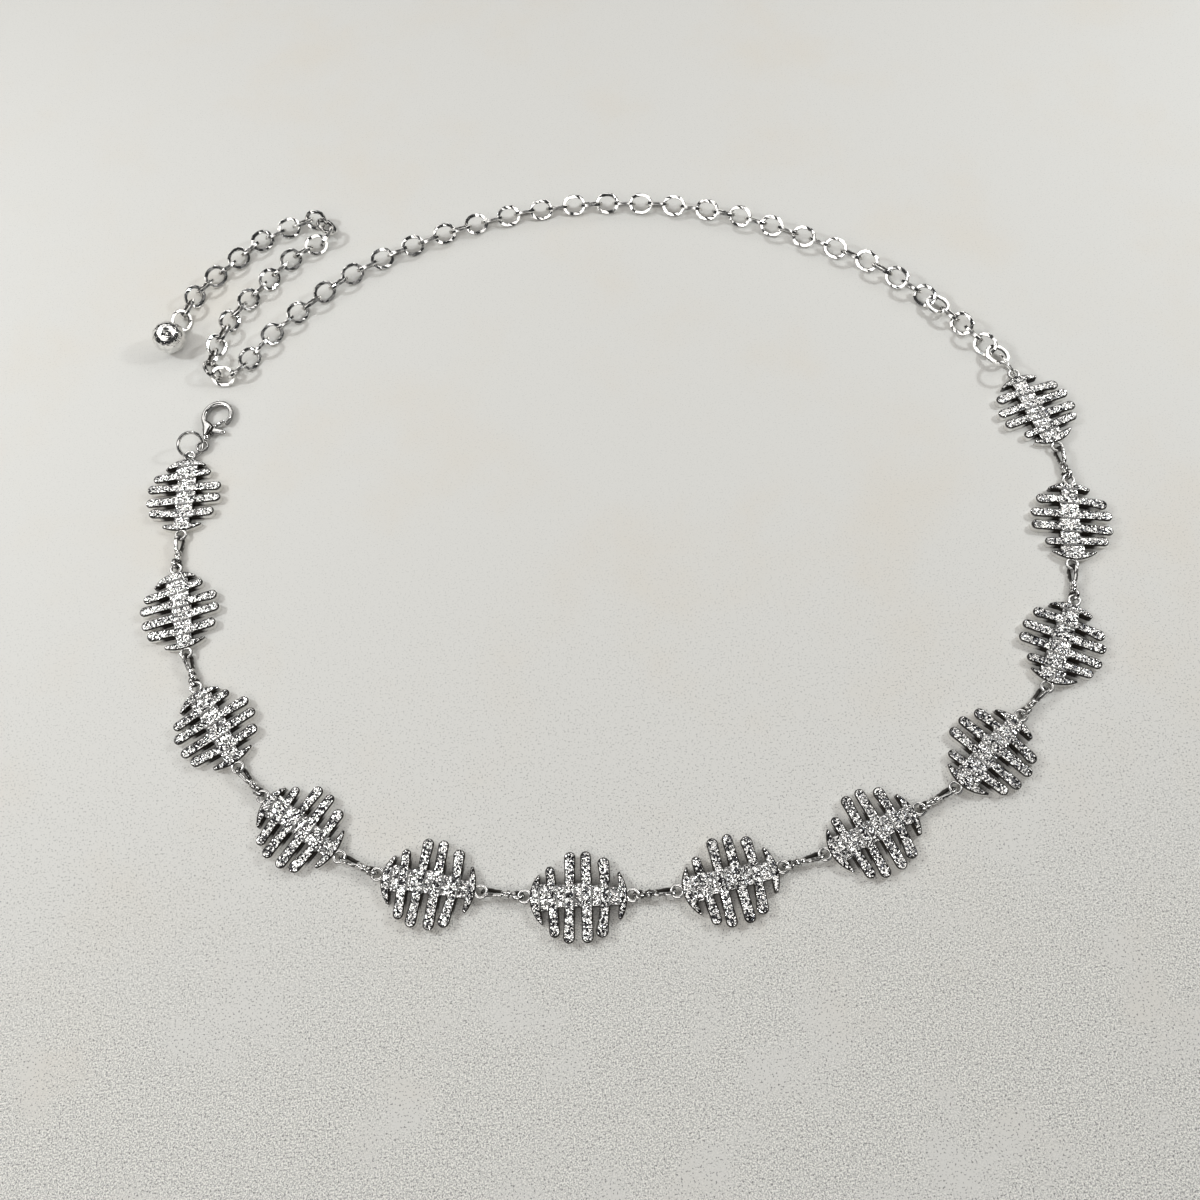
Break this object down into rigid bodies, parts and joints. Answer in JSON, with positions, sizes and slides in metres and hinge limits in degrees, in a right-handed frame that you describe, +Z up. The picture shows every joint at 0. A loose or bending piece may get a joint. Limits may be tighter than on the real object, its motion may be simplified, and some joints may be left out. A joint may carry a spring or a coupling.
{
  "type": "waist chain",
  "caption": "Silver-coloured waist chain of cast medallions on short connectors, with a lobster clasp and a long cable chain that ends in a ball.",
  "frame": {"origin": "middle of the loop's bounding box, on the surface that it lies on", "axes": "+Z up from the surface, +X along the loop's longest extent towards the end where the chain joins the last medallion, +Y towards the cable chain"},
  "size_m": [0.3494, 0.3093, 0.0126],
  "materials": {
    "textured_silver": "silver-plated cast alloy with a coarse sparkling grain on top and smooth sides",
    "polished_silver": "silver-plated and polished",
    "faceted_silver": "silver-plated wire with small cut facets"
  },
  "bodies": {
    "belt": {"medallion_01": "textured_silver", "medallion_02": "textured_silver", "medallion_03": "textured_silver", "medallion_04": "textured_silver", "medallion_05": "textured_silver", "medallion_06": "textured_silver", "medallion_07": "textured_silver", "medallion_08": "textured_silver", "medallion_09": "textured_silver", "medallion_10": "textured_silver", "medallion_11": "textured_silver", "medallion_12": "textured_silver", "connector_01": "polished_silver", "connector_02": "polished_silver", "connector_03": "polished_silver", "connector_04": "polished_silver", "connector_05": "polished_silver", "connector_06": "polished_silver", "connector_07": "polished_silver", "connector_08": "polished_silver", "connector_09": "polished_silver", "connector_10": "polished_silver", "connector_11": "polished_silver", "clasp_jump_ring": "polished_silver", "chain_jump_ring": "polished_silver", "clasp_body": "polished_silver", "main_chain": "faceted_silver", "tail_chain": "faceted_silver", "end_ball": "polished_silver"},
    "lever": {"clasp_lever": "polished_silver"}
  },
  "joints": [
    {"name": "lever_hinge", "type": "hinge", "parent": "belt", "child": "lever", "pos_m": [-0.15165, 0.05245, 0.0016], "axis": [0, 0, 1], "range_deg": [0, 22], "stiffness_Nm_per_rad": 0.02, "springref_deg": -17.19}
  ]
}
